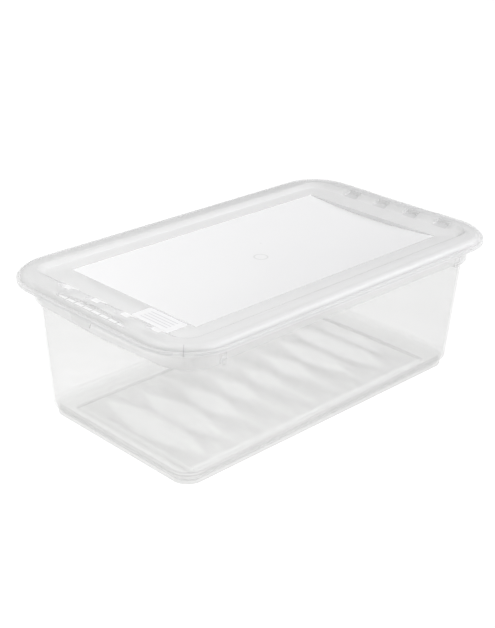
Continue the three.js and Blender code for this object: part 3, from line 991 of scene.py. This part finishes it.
# ---- floor, light and camera -----------------------------------------------------------------
FLOOR_HALF = 6.0            # metres, as all lengths from here on
FLOOR_DROP = 0.0006         # from the foot's underside to the floor
FLOOR_COLOUR = (0.02, 0.02, 0.02, 1)
FLOOR_GLOW = 1.0
GLOW_GAIN = 1.16            # how much brighter the table is at the back left
GLOW_DIRECTION = (-0.8, 0.6, 0)
GLOW_REACH = 0.3
LEFT_LIGHT = 0.2
RIGHT_LIGHT = 0.25
FRONT_LIGHT = 0.1
BACK_LIGHT = 0.08
TOP_LIGHT = 1.15
KEY_PLACE = (-0.36, 0.12, 0.42)
KEY_AIM = (-0.06, 0, 0.1)
KEY_SIZE = (0.4, 0.4)
KEY_POWER = 0.78
STRIP_PLACE = (0.55, -0.9, 0.75)
STRIP_AIM = (0.05, -0.09, 0.1)
STRIP_SIZE = (1.6, 0.8)
STRIP_POWER = 13.5
STRIP_COLOUR = (0.97, 0.965, 1.0)

CAMERA_AZIMUTH = -45.089    # degrees round from the view along +Y
CAMERA_ELEVATION = 24.235
CAMERA_ROLL = 1.277
CAMERA_DISTANCE = 0.91997
CAMERA_ASIDE = -0.00877     # how far the aim is to the right of the origin
CAMERA_AIM_HEIGHT = 0.05878
CAMERA_LENS = 71.08         # millimetres, as the sensor
CAMERA_SENSOR = 36
CLEAR_BOUNCES = 48          # enough for every face of both shells on one line of sight


def light_table():
    """A pale glowing floor, a little brighter at the back left, like a lit table under clear goods."""
    h = FLOOR_HALF
    mesh = bpy.data.meshes.new("floor")
    mesh.from_pydata([(-h, -h, 0), (h, -h, 0), (h, h, 0), (-h, h, 0)], [], [(0, 1, 2, 3)])
    floor = bpy.data.objects.new("floor", mesh)
    bpy.context.scene.collection.objects.link(floor)
    floor.location.z = -FLOOR_DROP
    n = Nodes("floor")
    along = n.add("ShaderNodeVectorMath", operation="DOT_PRODUCT")
    n.put(n.place, along.inputs[0])
    n.put(GLOW_DIRECTION, along.inputs[1])
    glow = n.add("ShaderNodeMapRange", interpolation_type="SMOOTHSTEP")
    n.put(along.outputs["Value"], glow.inputs["Value"])
    n.put(-GLOW_REACH, glow.inputs["From Min"])
    n.put(GLOW_REACH, glow.inputs["From Max"])
    n.put(FLOOR_GLOW, glow.inputs["To Min"])
    n.put(FLOOR_GLOW * GLOW_GAIN, glow.inputs["To Max"])
    n.set(Base_Color=FLOOR_COLOUR, Roughness=0.9, Specular_IOR_Level=0.0)
    n.set(Emission_Color=(1, 1, 1, 1), Emission_Strength=glow.outputs["Result"])
    mesh.materials.append(n.material)


def studio_world():
    """Soft light, its brightness set for each side and overhead. The camera sees plain white."""
    world = bpy.data.worlds.new("studio")
    bpy.context.scene.world = world
    world.use_nodes = True
    tree = world.node_tree

    def number(operation, *values):
        made = tree.nodes.new("ShaderNodeMath")
        made.operation = operation
        for value, socket in zip(values, made.inputs):
            if isinstance(value, bpy.types.NodeSocket):
                tree.links.new(value, socket)
            else:
                socket.default_value = value
        return made.outputs[0]

    place = tree.nodes.new("ShaderNodeTexCoord")
    axes = tree.nodes.new("ShaderNodeSeparateXYZ")
    tree.links.new(place.outputs["Generated"], axes.inputs[0])
    sides = ((LEFT_LIGHT, RIGHT_LIGHT), (FRONT_LIGHT, BACK_LIGHT), (0.0, TOP_LIGHT))
    total = 0.0
    for axis, (low, high) in zip(axes.outputs, sides):
        towards = number("GREATER_THAN", axis, 0.0)
        level = number("ADD", number("MULTIPLY", towards, high - low), low)
        total = number("ADD", number("MULTIPLY", number("MULTIPLY", axis, axis), level), total)
    path = tree.nodes.new("ShaderNodeLightPath")
    seen = tree.nodes.new("ShaderNodeMix")
    tree.links.new(path.outputs["Is Camera Ray"], seen.inputs["Factor"])
    tree.links.new(total, seen.inputs["A"])
    seen.inputs["B"].default_value = 1.0
    background = tree.nodes["Background"]
    tree.links.new(seen.outputs["Result"], background.inputs["Strength"])
    background.inputs["Color"].default_value = (1, 1, 1, 1)


def area_light(name, place, aim, size, power, colour):
    data = bpy.data.lights.new(name, "AREA")
    data.shape = "RECTANGLE"
    data.size, data.size_y = size
    data.energy = power
    data.color = colour
    lamp = bpy.data.objects.new(name, data)
    bpy.context.scene.collection.objects.link(lamp)
    lamp.location = place
    lamp.rotation_mode = "QUATERNION"
    lamp.rotation_quaternion = (Vector(aim) - Vector(place)).to_track_quat("-Z", "Y")


def make_camera():
    angles = (CAMERA_AZIMUTH, CAMERA_ELEVATION, CAMERA_ROLL)
    azimuth, elevation, roll = (math.radians(angle) for angle in angles)
    level = math.cos(elevation)
    back = Vector((math.sin(azimuth) * level, -math.cos(azimuth) * level, math.sin(elevation)))
    right = Vector((math.cos(azimuth), math.sin(azimuth), 0))
    up = back.cross(right)
    across = right * math.cos(roll) + up * math.sin(roll)
    upward = up * math.cos(roll) - right * math.sin(roll)
    target = right * CAMERA_ASIDE + Vector((0, 0, CAMERA_AIM_HEIGHT))
    data = bpy.data.cameras.new("camera")
    data.sensor_width = CAMERA_SENSOR
    data.lens = CAMERA_LENS
    data.dof.use_dof = False
    camera = bpy.data.objects.new("camera", data)
    bpy.context.scene.collection.objects.link(camera)
    turn = Matrix((across, upward, back)).transposed().to_4x4()
    camera.matrix_world = Matrix.Translation(target + back * CAMERA_DISTANCE) @ turn
    bpy.context.scene.camera = camera


# ---- scene -----------------------------------------------------------------------------------
dress(make_tub(), clear_plastic(), "bin", "bin")
dress(make_lid(), milky_plastic(), "lid", "lid")
dress(make_label(), label_paper(), "lid", "label")
light_table()
studio_world()
area_light("key", KEY_PLACE, KEY_AIM, KEY_SIZE, KEY_POWER, (1, 1, 1))
area_light("strip", STRIP_PLACE, STRIP_AIM, STRIP_SIZE, STRIP_POWER, STRIP_COLOUR)
make_camera()
bpy.context.scene.view_settings.view_transform = "Standard"
bpy.context.scene.cycles.transparent_max_bounces = CLEAR_BOUNCES
